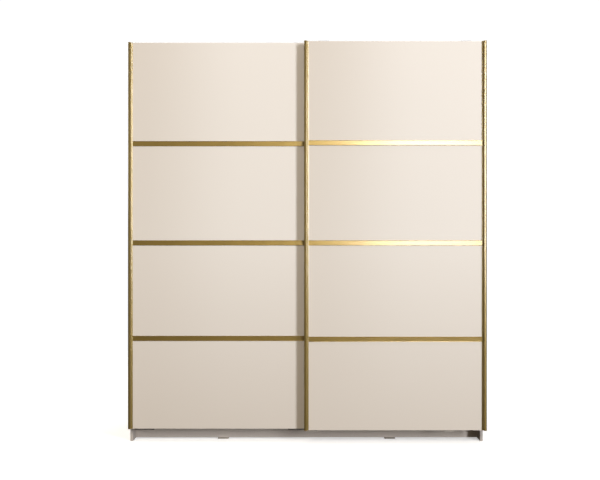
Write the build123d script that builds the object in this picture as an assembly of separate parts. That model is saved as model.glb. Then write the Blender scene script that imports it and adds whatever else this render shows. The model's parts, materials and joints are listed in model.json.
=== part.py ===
from build123d import *
import math
import os

# Sliding door wardrobe. Millimetres, +Z up, the front faces -Y.
# The origin is on the floor, in the middle of the width and of the depth.

# ------------------------------------------------------------------ overall
overall_width = 2000.0       # over both doors
overall_height = 2245.0      # floor to the top of the front door's hangers
overall_depth = 640.0        # grip noses of the front door to the back sheets

# ------------------------------------------------------------------ boards
side_board = 16.0
top_board = 22.0
bottom_board = 16.0
partition_board = 16.0
shelf_board = 16.0
plinth_board = 16.0
back_thickness = 3.0
back_seam = 1.0              # between the two back sheets

# ------------------------------------------------------------------ doors
door_overlap = 30.0          # the front door covers this much of the rear one
door_board = 16.0
door_floor_gap = 75.0
door_side_overhang = 7.0     # each door past its side panel
door_rise = 59.0             # doors above the top panel, hiding the track
pass_gap = 6.0               # rear door's grips to the front door's back
carcase_gap = 8.0            # rear door's back to the carcase
grip_reserve = 30.0          # an open door leaves the other one's grip free
panel_heights = (552.0, 527.0, 506.0)   # visible, from the top down; the lowest takes the rest

# ------------------------------------------------------------------ grip profiles and divider bars
grip_wall = 1.5
grip_width = 26.0
grip_depth = 16.0            # nose in front of the door's face
grip_nose_radius = 11.0
grip_lip = 4.5               # flat width of the nose's front
grip_tip_radius = 0.8
grip_back_flange = 16.0
cap_thickness = 2.0
cap_plug = 8.0
cap_plug_clearance = 0.1
bar_height = 29.0
bar_web = 2.0
bar_back_height = 18.0
bar_ridge_height = 2.0
bar_ridge = 0.7              # ridge along each long edge of a bar, in front of its face

# ------------------------------------------------------------------ base
plinth_setback = 75.0
rear_plinth_inset = 20.0
glide_height = 4.0
glide_width = 63.0
glide_reach = 24.0           # in front of the plinth's face
glide_corner = 6.0
glide_chamfer = 1.0
glide_spacing = 950.0
glide_pin_radius = 3.0
glide_pin_length = 10.0

# ------------------------------------------------------------------ interior
hat_space = 292.0            # hat shelf's top to the top panel
middle_shelf_height = 870.0  # floor to the underside
lower_shelf_height = 470.0
shelf_setback = 20.0
shelf_clearance = 1.0
pin_radius = 2.5
pin_depth = 7.0
pin_reach = 9.0
pin_inset = 60.0
rail_width = 15.0
rail_height = 30.0
rail_wall = 1.5
rail_drop = 60.0             # hat shelf to the rail's centre
socket_plate = 2.0
socket_collar = 10.0
socket_wall = 2.0
socket_clearance = 0.1
socket_ear = 12.0

# ------------------------------------------------------------------ hanging gear
hanger_sheet = 3.0
hanger_pass_gap = 3.0        # front door's hangers over the rear door
hanger_width = 60.0
hanger_drop = 110.0
hanger_inset = 110.0         # roller's centre from the door's edge
hanger_bend_radius = 3.0
hanger_corner = 6.0
hanger_cheek = 9.0           # sheet around the axle
roller_radius = 17.0
roller_width = 9.0
groove_depth = 2.5
groove_floor = 4.4
groove_mouth = 6.4
axle_radius = 3.0
axle_collar = 5.0
axle_head = 1.2
axle_clearance = 0.05
side_play = 0.3
roller_offset = 5.5          # hanger sheet to the roller
lane_spacing = 34.0
lane_rib = 3.0
lane_height = 14.0
lane_clearance = 0.3
track_base = 3.0
track_rear_margin = 15.0
track_lip = 6.0
track_lip_thickness = 1.5
track_end_gap = 12.0
stop_length = 24.0
stop_width = 18.0
stop_rise = 14.0
stop_slot_clearance = 0.2
buffer_thickness = 5.0
stop_clearance = 0.5

# ------------------------------------------------------------------ lower guides
guide_rail_drop = 14.0
guide_rail_plate = 2.0
guide_rail_rib = 1.5
guide_groove = 6.0
guide_groove_spacing = 17.0
guide_rail_end_gap = 1.0
guide_rail_rise = 3.0        # rail's lower edge above the doors' lower edge
guide_fin = 4.0
guide_fin_clearance = 3.0
guide_foot = 5.0
rear_guide_outer_inset = 40.0    # clears the side panel
rear_guide_inner_inset = 14.0
front_guide_outer_inset = 178.0
guide_flange_gap = 2.0       # front door's inner guide to the grip's back flange
rear_guide_length = 105.0
rear_guide_front = 2.0       # behind the door's face
front_guide_length = 56.0
front_guide_plate = 29.0
guide_pass_gap = 3.0
guide_corner = 4.0

# ------------------------------------------------------------------ fasteners
screw_head_radius = 3.5
screw_shank_radius = 1.75
screw_head_height = 2.0
board_screw = 14.0
socket_screw = 8.0
cam_radius = 7.5
cam_depth = 12.5
cam_inset = 24.0
bolt_radius = 3.0
bolt_depth = 11.0
dowel_radius = 4.0
dowel_length = 30.0
dowel_in_face = 10.0
nail_radius = 0.8
nail_length = 16.0
nail_head_radius = 2.5
nail_head = 0.8
nail_spacing = 260.0
bracket_sheet = 2.5
bracket_width = 40.0
bracket_leg = 40.0
bracket_hole_radius = 3.25
bracket_hole_height = 25.0
bracket_spacing = 1400.0

# ------------------------------------------------------------------ places worked out from the sizes
front_y = -overall_depth / 2
back_y = overall_depth / 2
door_thickness = door_board + grip_wall
door_width = (overall_width + door_overlap) / 2
door_top = overall_height - hanger_sheet - hanger_pass_gap
door_bottom = door_floor_gap
door_travel = overall_width - door_width - grip_reserve

front_face_y = front_y + grip_depth
rear_face_y = front_face_y + door_thickness + pass_gap + grip_depth
carcase_front = rear_face_y + door_thickness + carcase_gap
board_back = back_y - back_thickness

side_out = overall_width / 2 - door_side_overhang
side_in = side_out - side_board
partition_half = partition_board / 2
top_high = door_top - door_rise
top_low = top_high - top_board
guide_rail_low = door_bottom + guide_rail_rise
bottom_low = guide_rail_low + guide_rail_drop
bottom_high = bottom_low + bottom_board
hat_shelf_height = top_low - hat_space - shelf_board
rail_height_z = hat_shelf_height - rail_drop
rail_y = (carcase_front + board_back) / 2
joint_front = carcase_front + 45.0
joint_back = board_back - 60.0
joint_ys = (joint_front, rail_y, joint_back)
dowel_ys = ((joint_front + rail_y) / 2, (rail_y + joint_back) / 2)

roller_root = roller_radius - groove_depth
track_floor = top_high + track_base
lane_top = track_floor + lane_height
axle_z = lane_top + lane_clearance + roller_root
front_lane_y = rear_face_y + door_board + hanger_sheet + roller_offset + roller_width / 2
rear_lane_y = front_lane_y + lane_spacing
track_back = rear_lane_y + track_rear_margin
track_half = side_out - track_end_gap

rear_groove_y = carcase_front + guide_rail_rib + guide_groove / 2
front_groove_y = rear_groove_y + guide_groove_spacing
guide_rail_back = front_groove_y + guide_groove / 2 + guide_rail_rib
fin_top = bottom_low - guide_rail_plate - guide_fin_clearance
rear_foot_low = door_bottom - guide_foot
front_foot_low = rear_foot_low - guide_pass_gap - guide_foot

left, right = -1, 1
face_y = {left: rear_face_y, right: front_face_y}
lane_y = {left: front_lane_y, right: rear_lane_y}
names = {left: "left", right: "right"}


# ------------------------------------------------------------------ small shapes
def block(x, y, z):
    """A box from three (low, high) pairs."""
    size = [max(pair) - min(pair) for pair in (x, y, z)]
    middle = [(pair[0] + pair[1]) / 2 for pair in (x, y, z)]
    return Pos(*middle) * Box(*size)


def rod(start, along, radius, length):
    """A round bar from start, in the direction of along."""
    bar = Cylinder(radius, length, align=(Align.CENTER, Align.CENTER, Align.MIN))
    return Plane(origin=start, z_dir=along) * bar


def screw(head, into, length):
    """A countersunk screw with the middle of its flat head at head."""
    low = (Align.CENTER, Align.CENTER, Align.MIN)
    cone = Cone(screw_head_radius, screw_shank_radius, screw_head_height, align=low)
    shank = Cylinder(screw_shank_radius, length, align=low)
    return Plane(origin=head, z_dir=into) * (cone + shank)


def nail(x, z):
    """A back sheet nail, its head flush with the sheet's outside."""
    head = rod((x, back_y, z), (0, -1, 0), nail_head_radius, nail_head)
    return head + rod((x, back_y, z), (0, -1, 0), nail_radius, nail_length)


def meets(a, b):
    """True where the boxes of two shapes share some space."""
    one = a.bounding_box()
    two = b.bounding_box()
    low = [max(one.min.X, two.min.X), max(one.min.Y, two.min.Y), max(one.min.Z, two.min.Z)]
    high = [min(one.max.X, two.max.X), min(one.max.Y, two.max.Y), min(one.max.Z, two.max.Z)]
    return all(high[i] > low[i] for i in range(3))


def seat(piece, *groups):
    """Cuts into a piece the seats of the fasteners that go through it."""
    inside = [item for group in groups for item in group if meets(piece, item)]
    if inside:
        piece = piece - inside
    return piece


def spread(low, high, spacing):
    """Even places from low to high, at most spacing apart."""
    steps = math.ceil((high - low) / spacing)
    return [low + (high - low) * i / steps for i in range(steps + 1)]


# ------------------------------------------------------------------ carcase joints
def cam_joint(x, z, into, disc_face, ys):
    """Cam locks and bolts of one corner: into points from the board that holds the bolt to the other."""
    cams = []
    bolts = []
    half = Vector(*disc_face) * (side_board / 2)
    for y in ys:
        corner = Vector(x, y, z)
        start = corner - Vector(*into) * bolt_depth
        bolt = rod(start, into, bolt_radius, bolt_depth + cam_inset)
        disc_start = corner + Vector(*into) * cam_inset + half
        disc = rod(disc_start, Vector(*disc_face) * -1, cam_radius, cam_depth)
        bolts.append(bolt)
        cams.append(disc - bolt)
    return cams, bolts


def dowel_row(x, z, into, ys):
    """Dowels of one corner, the short end in the board's face."""
    start = Vector(*into) * -dowel_in_face
    return [rod(Vector(x, y, z) + start, into, dowel_radius, dowel_length) for y in ys]


def carcase_joints():
    """Every cam lock, cam bolt and dowel of the carcase."""
    cams = []
    bolts = []
    dowels = []
    bottom_middle = bottom_low + bottom_board / 2
    for side in (left, right):
        panel_middle = side * (side_in + side_board / 2)
        corners = (
            (side * side_in, bottom_middle, (-side, 0, 0), (0, 0, -1)),
            (panel_middle, top_low, (0, 0, -1), (-side, 0, 0)),
        )
        for x, z, into, disc_face in corners:
            more_cams, more_bolts = cam_joint(x, z, into, disc_face, joint_ys)
            cams += more_cams
            bolts += more_bolts
            dowels += dowel_row(x, z, into, dowel_ys)
    for z, into in ((bottom_high, (0, 0, 1)), (top_low, (0, 0, -1))):
        more_cams, more_bolts = cam_joint(0, z, into, (-1, 0, 0), joint_ys)
        cams += more_cams
        bolts += more_bolts
        dowels += dowel_row(0, z, into, dowel_ys)
    for side in (left, right):
        for low_y in plinth_ys():
            dowels += dowel_row(side * side_in, plinth_middle(), (-side, 0, 0), [low_y + plinth_board / 2])
    return cams, bolts, dowels


def plinth_ys():
    """Front faces of the front and the rear plinth."""
    return (carcase_front + plinth_setback, board_back - rear_plinth_inset - plinth_board)


def plinth_middle():
    """Height of the plinths' middle."""
    return (glide_height + bottom_low) / 2


# ------------------------------------------------------------------ carcase
def side_panel(side):
    return block((side * side_in, side * side_out), (carcase_front, board_back), (0, top_low))


def plinth(low_y):
    return block((-side_in, side_in), (low_y, low_y + plinth_board), (glide_height, bottom_low))


def plinth_support():
    front, rear = plinth_ys()
    half = plinth_board / 2
    return block((-half, half), (front + plinth_board, rear), (glide_height, bottom_low))


def glides():
    """Four plastic glides that carry the plinths, each with two pins."""
    pads = []
    depth = plinth_board + glide_reach
    for low_y in plinth_ys():
        middle_y = low_y + plinth_board / 2
        for side in (left, right):
            x = side * glide_spacing / 2
            spot = Pos(x, low_y - glide_reach + depth / 2, 0)
            pad = spot * extrude(RectangleRounded(glide_width, depth, glide_corner), glide_height)
            pad = chamfer(pad.edges().group_by(Axis.Z)[-1], glide_chamfer)
            for offset in (-glide_width / 4, glide_width / 4):
                foot = (x + offset, middle_y, glide_height)
                pad = pad + rod(foot, (0, 0, 1), glide_pin_radius, glide_pin_length)
            pads.append(pad)
    return pads


def back_sheet(side):
    edges = (side * back_seam / 2, side * side_out)
    return block(edges, (board_back, back_y), (bottom_low, top_high))


def nails():
    """Nails along the edges of both back sheets."""
    spots = []
    heights = spread(bottom_low + bottom_board / 2, top_low + top_board / 2, nail_spacing)
    for side in (left, right):
        outer = side * (side_out - side_board / 2)
        inner = side * (partition_half / 2)
        spots += [(x, z) for x in (outer, inner) for z in heights]
        across = spread(inner, outer, side * nail_spacing)[1:-1]
        spots += [(x, z) for x in across for z in (heights[0], heights[-1])]
    return [nail(x, z) for x, z in spots]


def compartment(side):
    """Inner faces of one half, from the partition outwards."""
    return side * partition_half, side * side_in


def shelf(side, height):
    inner, outer = compartment(side)
    play = side * shelf_clearance
    return block(
        (inner + play, outer - play),
        (carcase_front + shelf_setback, board_back),
        (height, height + shelf_board),
    )


def pins(side, height):
    """Four pins that carry a shelf."""
    row = []
    for face, inward in zip(compartment(side), (side, -side)):
        for y in (carcase_front + shelf_setback + pin_inset, board_back - pin_inset):
            start = (face - inward * pin_depth, y, height - pin_radius)
            row.append(rod(start, (inward, 0, 0), pin_radius, pin_depth + pin_reach))
    return row


def oval(width, height):
    """A stadium seen along X, narrow in Y and tall in Z."""
    corner = width / 2 - 0.01
    return Plane.YZ * RectangleRounded(width, height, corner)


def hanging_rail(side):
    inner, outer = compartment(side)
    gap = socket_plate + 0.5
    length = abs(outer - inner) - 2 * gap
    tube = oval(rail_width, rail_height) - oval(rail_width - 2 * rail_wall, rail_height - 2 * rail_wall)
    start = min(inner, outer) + gap
    return Pos(start, rail_y, rail_height_z) * extrude(tube, length)


def socket_screw_heights():
    reach = rail_height / 2 + socket_wall + socket_ear / 2
    return (rail_height_z - reach, rail_height_z + reach)


def rail_socket(face, inward):
    """A plate on the board with a collar around the rail's end."""
    clear = 2 * socket_clearance
    rim = 2 * socket_wall + clear
    plate = oval(rail_width + rim, rail_height + rim + 2 * socket_ear)
    ring = oval(rail_width + rim, rail_height + rim) - oval(rail_width + clear, rail_height + clear)
    body = extrude(plate, inward * socket_plate)
    body = body + extrude(ring, inward * (socket_plate + socket_collar))
    return Pos(face, rail_y, rail_height_z) * body


def sockets_and_screws():
    sockets = []
    screws = []
    for side in (left, right):
        for face, inward in zip(compartment(side), (side, -side)):
            head_x = face + inward * socket_plate
            own = [screw((head_x, rail_y, z), (-inward, 0, 0), socket_screw) for z in socket_screw_heights()]
            sockets.append(rail_socket(face, inward) - own)
            screws += own
    return sockets, screws


# ------------------------------------------------------------------ track and lower guide rail
def top_track():
    """A base with two ribs that the rollers run on, and a low lip in front and behind."""
    whole = (-track_half, track_half)
    shape = block(whole, (carcase_front, track_back), (top_high, track_floor))
    for y in (front_lane_y, rear_lane_y):
        rib = block(whole, (y - lane_rib / 2, y + lane_rib / 2), (track_floor, lane_top))
        rib = fillet(rib.edges().filter_by(Axis.X).group_by(Axis.Z)[-1], lane_rib * 0.4)
        shape = shape + rib
    for y in (carcase_front, track_back - track_lip_thickness):
        shape = shape + block(whole, (y, y + track_lip_thickness), (track_floor, top_high + track_lip))
    return shape


def track_screws():
    y = (front_lane_y + rear_lane_y) / 2
    places = spread(-track_half + 60, track_half - 60, 280)
    return [screw((x, y, track_floor), (0, 0, -1), board_screw) for x in places]


def lower_guide_rail():
    """A plate under the bottom panel with two grooves that open downwards."""
    whole = (-side_in + guide_rail_end_gap, side_in - guide_rail_end_gap)
    plate_low = bottom_low - guide_rail_plate
    shape = block(whole, (carcase_front, guide_rail_back), (plate_low, bottom_low))
    for centre in (rear_groove_y, front_groove_y):
        for side in (-1, 1):
            edge = centre + side * guide_groove / 2
            rib = block(whole, (edge, edge + side * guide_rail_rib), (guide_rail_low, plate_low))
            shape = shape + rib
    return shape


def guide_rail_screws():
    y = (rear_groove_y + front_groove_y) / 2
    head = bottom_low - guide_rail_plate
    places = spread(-side_in + 60, side_in - 60, 380)
    return [screw((x, y, head), (0, 0, 1), board_screw - guide_rail_plate) for x in places]


def stop_places(side):
    """Where a door's rollers end, as pairs of (face, outward direction)."""
    reach = roller_radius + stop_clearance
    outer = side * (overall_width / 2 - hanger_inset)
    inner = side * (overall_width / 2 - door_width + hanger_inset) - side * door_travel
    return ((outer + side * reach, side), (inner - side * reach, -side))


def end_stops():
    """Stops astride the ribs, each with a rubber buffer facing the roller."""
    stops = []
    buffers = []
    for side in (left, right):
        y = lane_y[side]
        across = (y - stop_width / 2, y + stop_width / 2)
        low = top_high + track_lip
        up = (low, lane_top + stop_rise)
        slot_half = lane_rib / 2 + stop_slot_clearance
        for face, outward in stop_places(side):
            seam = face + outward * buffer_thickness
            end = seam + outward * stop_length
            slot = block((face, end), (y - slot_half, y + slot_half), (low, lane_top + stop_slot_clearance))
            stops.append(block((seam, end), across, up) - slot)
            buffers.append(block((face, seam), across, up) - slot)
    return stops, buffers


def wall_brackets():
    """Angles on the top panel's rear edge, each with one hole for a wall screw."""
    angles = []
    screws = []
    for side in (left, right):
        x = side * bracket_spacing / 2
        across = (x - bracket_width / 2, x + bracket_width / 2)
        flat = block(across, (back_y - bracket_leg, back_y), (top_high, top_high + bracket_sheet))
        upright = block(across, (back_y - bracket_sheet, back_y), (top_high, top_high + bracket_leg))
        hole_start = (x, back_y - 2 * bracket_sheet, top_high + bracket_hole_height)
        hole = rod(hole_start, (0, 1, 0), bracket_hole_radius, 3 * bracket_sheet)
        for offset in (-bracket_width / 4, bracket_width / 4):
            head = (x + offset, back_y - bracket_leg * 0.6, top_high + bracket_sheet)
            screws.append(screw(head, (0, 0, -1), board_screw))
        angles.append(flat + upright - hole)
    angles = [seat(angle, screws) for angle in angles]
    return angles, screws


# ------------------------------------------------------------------ doors
def door_x(side, inset):
    """X of a place on a door, measured inwards from its outer edge."""
    return side * (overall_width / 2 - inset)


def bar_heights():
    """Middles of the three divider bars, from the top down."""
    middles = []
    z = door_top
    for visible in panel_heights:
        z -= visible + bar_height / 2
        middles.append(z)
        z -= bar_height / 2
    return middles


def door_panels(side):
    """The four boards of a door, from the top down."""
    y = face_y[side]
    bars = bar_heights()
    tops = [door_top] + [z - bar_web / 2 for z in bars]
    bottoms = [z + bar_web / 2 for z in bars] + [door_bottom]
    across = (door_x(side, grip_wall), door_x(side, door_width - grip_wall))
    return [block(across, (y, y + door_board), (low, high)) for high, low in zip(tops, bottoms)]


def bar_section(y, z):
    """H-shaped section of a divider bar, with a ridge along both long edges of its front."""
    half = bar_height / 2
    back_half = bar_back_height / 2
    web_half = bar_web / 2
    upper = [
        (y - grip_wall, half - bar_ridge_height),
        (y - grip_wall - bar_ridge, half - bar_ridge_height),
        (y - grip_wall - bar_ridge, half - bar_ridge),
        (y - grip_wall, half),
        (y, half),
        (y, web_half),
        (y + door_board, web_half),
        (y + door_board, back_half),
        (y + door_thickness, back_half),
    ]
    lower = [(depth, -height) for depth, height in reversed(upper)]
    points = [(depth, z + height) for depth, height in upper + lower]
    return Plane.YZ * make_face(Polyline(*points, close=True))


def divider_bars(side):
    """The three bars between a door's panels, cut back at both ends to clear the grip profiles."""
    y = face_y[side]
    start = min(door_x(side, grip_wall), door_x(side, door_width - grip_wall))
    length = door_width - 2 * grip_wall
    flange = grip_width - grip_wall
    bars = []
    for z in bar_heights():
        bar = Pos(start, 0, 0) * extrude(bar_section(y, z), length)
        tall = (z - bar_height, z + bar_height)
        for low, high in ((start, start + flange), (start + length - flange, start + length)):
            bar = bar - block((low, high), (y - 2 * grip_wall, y), tall)
            bar = bar - block((low, high), (y + door_board, y + door_thickness), tall)
        bars.append(bar)
    return bars


def grip_outline(edge_x, inward, y):
    """Section of a grip profile from above: a channel for the board, with a scooped nose in front."""
    def at(inset, forward):
        return (edge_x + inward * inset, y - forward)

    lip = grip_nose_radius + grip_lip
    scoop_top = grip_wall + 0.72 * (grip_depth - grip_wall)
    turn = math.sqrt(0.5)
    outer_mid = (grip_nose_radius * (1 - turn), grip_depth - grip_nose_radius * (1 - turn))
    tip_mid = (lip - grip_tip_radius * (1 - turn), grip_depth - grip_tip_radius * (1 - turn))
    scoop_mid = (grip_width - (grip_width - lip) * turn, scoop_top - (scoop_top - grip_wall) * turn)
    nose_base = at(0, grip_depth - grip_nose_radius)
    nose_front = at(grip_nose_radius, grip_depth)
    tip_start = at(lip - grip_tip_radius, grip_depth)
    tip_end = at(lip, grip_depth - grip_tip_radius)
    scoop_start = at(lip, scoop_top)
    scoop_end = at(grip_width, grip_wall)
    channel = Polyline(
        scoop_end,
        at(grip_width, 0),
        at(grip_wall, 0),
        at(grip_wall, -door_board),
        at(grip_back_flange, -door_board),
        at(grip_back_flange, -door_thickness),
        at(0, -door_thickness),
        nose_base,
    )
    nose = [
        ThreePointArc(nose_base, at(*outer_mid), nose_front),
        Line(nose_front, tip_start),
        ThreePointArc(tip_start, at(*tip_mid), tip_end),
        Line(tip_end, scoop_start),
        ThreePointArc(scoop_start, at(*scoop_mid), scoop_end),
    ]
    edges = [edge for line in [channel] + nose for edge in line.edges()]
    return make_face(edges)


def grip_chamber(edge_x, inward, y):
    """Middle and radius of the round chamber in a grip profile's nose."""
    depth = grip_depth - grip_wall
    radius = 0.24 * depth
    return (edge_x + inward * (grip_wall + radius + 0.6), y - grip_wall - 0.42 * depth), radius


def grip_edges(side):
    """The two edges of a door as (name, x, inward direction)."""
    return (("outer", door_x(side, 0), -side), ("inner", door_x(side, door_width), side))


def grip_profile(side, edge_x, inward):
    """A grip profile, shorter than the door by its two end caps."""
    height = door_top - door_bottom - 2 * cap_thickness
    centre, radius = grip_chamber(edge_x, inward, face_y[side])
    outline = grip_outline(edge_x, inward, face_y[side])
    chamber = Pos(*centre, 0) * Circle(radius)
    return Pos(0, 0, door_bottom + cap_thickness) * extrude(outline - chamber, height)


def grip_caps(side):
    """Four end caps, each with a plug in the profile's chamber."""
    caps = []
    for name, edge_x, inward in grip_edges(side):
        centre, radius = grip_chamber(edge_x, inward, face_y[side])
        plug = radius - cap_plug_clearance
        plate = extrude(grip_outline(edge_x, inward, face_y[side]), cap_thickness)
        low = Pos(0, 0, door_bottom) * plate
        high = Pos(0, 0, door_top - cap_thickness) * plate
        low = low + rod((*centre, door_bottom + cap_thickness), (0, 0, 1), plug, cap_plug)
        high = high + rod((*centre, door_top - cap_thickness), (0, 0, -1), plug, cap_plug)
        caps += [low, high]
    return caps


def hanger_insets():
    return (("outer", hanger_inset), ("inner", door_width - hanger_inset))


def hanger(side, inset):
    """The rear door's hanger is a plate; the front door's one reaches over the rear door."""
    x = door_x(side, inset)
    across = (x - hanger_width / 2, x + hanger_width / 2)
    plate_front = face_y[side] + door_board
    plate = (plate_front, plate_front + hanger_sheet)
    low = door_top - hanger_drop
    cheek_low = axle_z - hanger_cheek
    if side == left:
        shape = block(across, plate, (low, axle_z + hanger_cheek))
        return fillet(shape.edges().filter_by(Axis.Y), hanger_corner)
    leg_back = lane_y[side] - roller_width / 2 - roller_offset
    leg_front = leg_back - hanger_sheet
    shape = block(across, plate, (low, overall_height))
    shape = shape + block(across, (plate_front, leg_back), (overall_height - hanger_sheet, overall_height))
    shape = shape + block(across, (leg_front, leg_back), (cheek_low, overall_height))
    shape = fillet(shape.edges().filter_by(Axis.X).group_by(Axis.Z)[-1], hanger_bend_radius)
    return fillet(shape.edges().filter_by(Axis.Y).group_by(Axis.Z)[0], hanger_corner)


def axle_start(side):
    """Front end of a door's axles, flush with the hanger's front face."""
    return lane_y[side] - roller_width / 2 - roller_offset - hanger_sheet


def axle(side, inset):
    """A pin with a collar in front of the roller and a head behind it."""
    x = door_x(side, inset)
    start = axle_start(side)
    roller_front = lane_y[side] - roller_width / 2
    roller_back = lane_y[side] + roller_width / 2
    sheet_back = start + hanger_sheet
    collar = rod((x, sheet_back, axle_z), (0, 1, 0), axle_collar, roller_front - side_play - sheet_back)
    pin = rod((x, start, axle_z), (0, 1, 0), axle_radius, roller_back + side_play - start)
    head = rod((x, roller_back + side_play, axle_z), (0, 1, 0), axle_collar, axle_head)
    return pin + collar + head


def roller(side, inset):
    """A grooved wheel that rides on a rib of the track."""
    half = roller_width / 2
    bore = axle_radius + axle_clearance
    edge = 0.5
    section = Polyline(
        (bore, -half),
        (roller_radius - edge, -half),
        (roller_radius, -half + edge),
        (roller_radius, -groove_mouth / 2),
        (roller_root, -groove_floor / 2),
        (roller_root, groove_floor / 2),
        (roller_radius, groove_mouth / 2),
        (roller_radius, half - edge),
        (roller_radius - edge, half),
        (bore, half),
        close=True,
    )
    wheel = revolve(make_face(section), Axis.Y)
    return Pos(door_x(side, inset), lane_y[side], axle_z) * wheel


def rear_guide(x):
    """A foot under the rear door's edge with a fin up into the rail."""
    across = (x - rear_guide_length / 2, x + rear_guide_length / 2)
    front = rear_face_y + rear_guide_front
    fin = (rear_groove_y - guide_fin / 2, rear_groove_y + guide_fin / 2)
    foot = block(across, (front, fin[1]), (rear_foot_low, door_bottom))
    return foot + block(across, fin, (rear_foot_low, fin_top))


def front_guide(x):
    """An arm from the front door's back, under the rear door and up into the rail."""
    across = (x - front_guide_length / 2, x + front_guide_length / 2)
    plate_front = front_face_y + door_board
    fin = (front_groove_y - guide_fin / 2, front_groove_y + guide_fin / 2)
    plate_top = door_bottom + front_guide_plate
    plate = block(across, (plate_front, plate_front + hanger_sheet), (front_foot_low, plate_top))
    foot = block(across, (plate_front, fin[1]), (front_foot_low, front_foot_low + guide_foot))
    guide = plate + foot + block(across, fin, (front_foot_low, fin_top))
    return fillet(guide.edges().filter_by(Axis.Y).group_by(Axis.Z)[0], guide_corner)


def guide_places(side):
    """X of the middles of a door's two guides."""
    if side == left:
        half = rear_guide_length / 2
        outer, inner = rear_guide_outer_inset, rear_guide_inner_inset
    else:
        half = front_guide_length / 2
        outer, inner = front_guide_outer_inset, grip_back_flange + guide_flange_gap
    insets = (outer + half, door_width - inner - half)
    return [door_x(side, inset) for inset in insets]


def guides(side):
    make = rear_guide if side == left else front_guide
    return [make(x) for x in guide_places(side)]


def guide_screws(side):
    screws = []
    for x in guide_places(side):
        if side == left:
            y = rear_face_y + door_board / 2
            offsets = (-rear_guide_length / 4, rear_guide_length / 4)
            spots = [(x + offset, y, rear_foot_low) for offset in offsets]
            screws += [screw(spot, (0, 0, 1), board_screw) for spot in spots]
        else:
            y = front_face_y + door_board + hanger_sheet
            spots = [(x, y, door_bottom + front_guide_plate * share) for share in (0.35, 0.75)]
            screws += [screw(spot, (0, -1, 0), board_screw) for spot in spots]
    return screws


def hanger_screws(side):
    y = face_y[side] + door_board + hanger_sheet
    screws = []
    for name, inset in hanger_insets():
        for offset in (-hanger_width * 0.3, hanger_width * 0.3):
            for share in (0.15, 0.5):
                z = door_top - hanger_drop * (1 - share)
                screws.append(screw((door_x(side, inset) + offset, y, z), (0, -1, 0), board_screw))
    return screws


def grip_screws(side):
    """One screw through each profile's back flange into each board."""
    y = face_y[side] + door_thickness
    bars = bar_heights()
    bounds = [door_top] + bars + [door_bottom]
    heights = [(high + low) / 2 for high, low in zip(bounds, bounds[1:])]
    inset = (grip_wall + grip_back_flange) / 2
    places = (door_x(side, inset), door_x(side, door_width - inset))
    length = board_screw - hanger_sheet
    return [screw((x, y, z), (0, -1, 0), length) for x in places for z in heights]


def door_nodes(side):
    """Every piece of one door by name."""
    prefix = names[side] + "_door_"
    screws = hanger_screws(side) + guide_screws(side) + grip_screws(side)
    nodes = {}
    for name, board in zip(("top", "upper", "lower", "bottom"), door_panels(side)):
        nodes[prefix + name + "_panel"] = [seat(board, screws)]
    nodes[prefix + "divider_bars"] = divider_bars(side)
    for name, edge_x, inward in grip_edges(side):
        nodes[prefix + name + "_grip"] = [seat(grip_profile(side, edge_x, inward), screws)]
    nodes[prefix + "grip_caps"] = grip_caps(side)
    axles = [axle(side, inset) for name, inset in hanger_insets()]
    for name, inset in hanger_insets():
        nodes[prefix + name + "_hanger"] = [seat(hanger(side, inset), screws, axles)]
        nodes[prefix + name + "_roller"] = [roller(side, inset)]
    nodes[prefix + "axles"] = axles
    nodes[prefix + "guides"] = [seat(guide, screws) for guide in guides(side)]
    nodes[prefix + "screws"] = screws
    return nodes


def carcase_nodes():
    """Every fixed piece by name."""
    cams, bolts, dowels = carcase_joints()
    sockets, screws = sockets_and_screws()
    brackets, bracket_screws = wall_brackets()
    stops, buffers = end_stops()
    screws = screws + bracket_screws + track_screws() + guide_rail_screws()
    shelves = {
        "left_hat_shelf": (left, hat_shelf_height),
        "right_hat_shelf": (right, hat_shelf_height),
        "right_middle_shelf": (right, middle_shelf_height),
        "right_lower_shelf": (right, lower_shelf_height),
    }
    shelf_pins = [pin for side, height in shelves.values() for pin in pins(side, height)]
    back_nails = nails()
    pads = glides()
    depth = (carcase_front, board_back)
    boards = {
        "left_side_panel": side_panel(left),
        "right_side_panel": side_panel(right),
        "centre_partition": block((-partition_half, partition_half), depth, (bottom_high, top_low)),
        "top_panel": block((-side_out, side_out), depth, (top_low, top_high)),
        "bottom_panel": block((-side_in, side_in), depth, (bottom_low, bottom_high)),
        "front_plinth": plinth(plinth_ys()[0]),
        "rear_plinth": plinth(plinth_ys()[1]),
        "plinth_support": plinth_support(),
        "left_back_sheet": back_sheet(left),
        "right_back_sheet": back_sheet(right),
        "top_track": top_track(),
        "lower_guide_rail": lower_guide_rail(),
    }
    fasteners = (cams, bolts, dowels, screws, shelf_pins, back_nails, pads)
    nodes = {name: [seat(board, *fasteners)] for name, board in boards.items()}
    nodes.update({name: [shelf(*place)] for name, place in shelves.items()})
    nodes.update({
        "left_hanging_rail": [hanging_rail(left)],
        "right_hanging_rail": [hanging_rail(right)],
        "rail_sockets": sockets,
        "shelf_pins": shelf_pins,
        "plinth_glides": pads,
        "track_end_stops": stops,
        "stop_buffers": buffers,
        "wall_brackets": brackets,
        "fitting_screws": screws,
        "cam_locks": cams,
        "cam_bolts": bolts,
        "dowels": dowels,
        "back_sheet_nails": back_nails,
    })
    return nodes


def build():
    os.makedirs("parts", exist_ok=True)
    nodes = {**carcase_nodes(), **door_nodes(left), **door_nodes(right)}
    for name, solids in nodes.items():
        shape = solids[0] if len(solids) == 1 else Compound(children=solids)
        export_step(shape, f"parts/{name}.step")


build()
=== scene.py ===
"""Looks of the sliding door wardrobe. Metres, +Z up, the front faces -Y."""
import json
import math

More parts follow.
